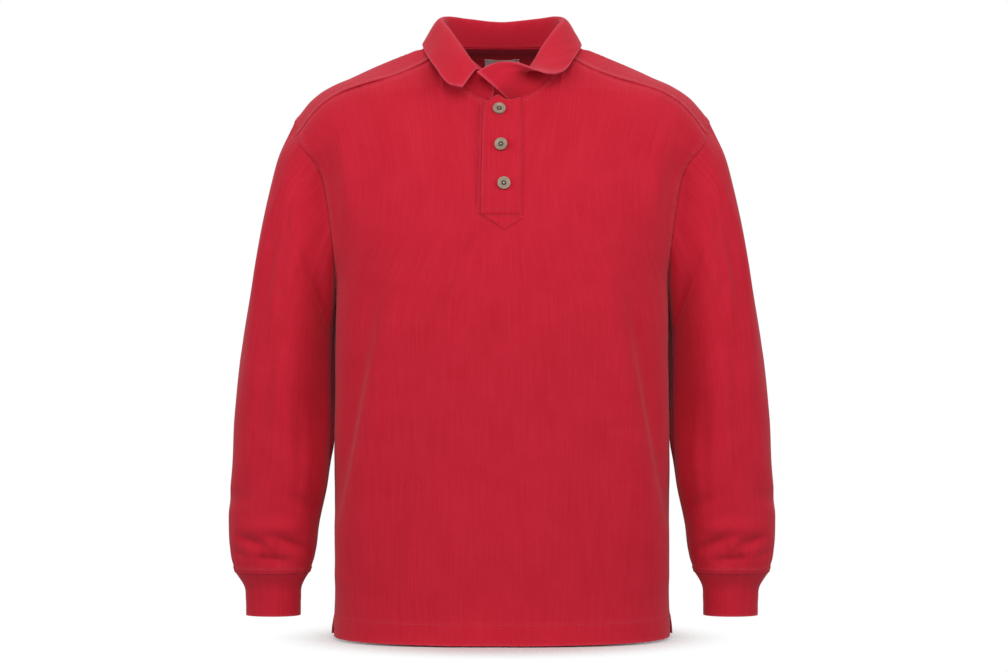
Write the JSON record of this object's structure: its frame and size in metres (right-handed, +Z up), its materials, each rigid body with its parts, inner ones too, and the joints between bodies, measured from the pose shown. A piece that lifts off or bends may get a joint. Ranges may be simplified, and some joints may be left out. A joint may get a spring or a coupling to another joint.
{
  "type": "henley sweatshirt",
  "caption": "Long-sleeved henley sweatshirt in heavy knit with a turn-down collar, buttoned placket and cuffs, hollow as if worn.",
  "frame": {"origin": "middle of the neck opening, level with the shoulder side of the neck seam, where the wearer's neck and shoulders hold the garment up", "axes": "+Z up the garment, +X to the wearer's left, front faces -Y"},
  "size_m": [0.68, 0.2931, 0.7781],
  "materials": {
    "washed_red_knit": "garment-washed heavy cotton knit, matt",
    "taupe_button": "taupe moulded button, satin",
    "pale_label": "plain woven label, blank"
  },
  "bodies": {
    "root": {"front_body": "washed_red_knit", "back_body": "washed_red_knit", "sleeve_left": "washed_red_knit", "sleeve_right": "washed_red_knit", "cuff_left": "washed_red_knit", "cuff_right": "washed_red_knit", "collar": "washed_red_knit", "placket_over": "washed_red_knit", "placket_under": "washed_red_knit", "button_1": "taupe_button", "button_2": "taupe_button", "button_3": "taupe_button", "neck_label": "pale_label"}
  },
  "joints": []
}
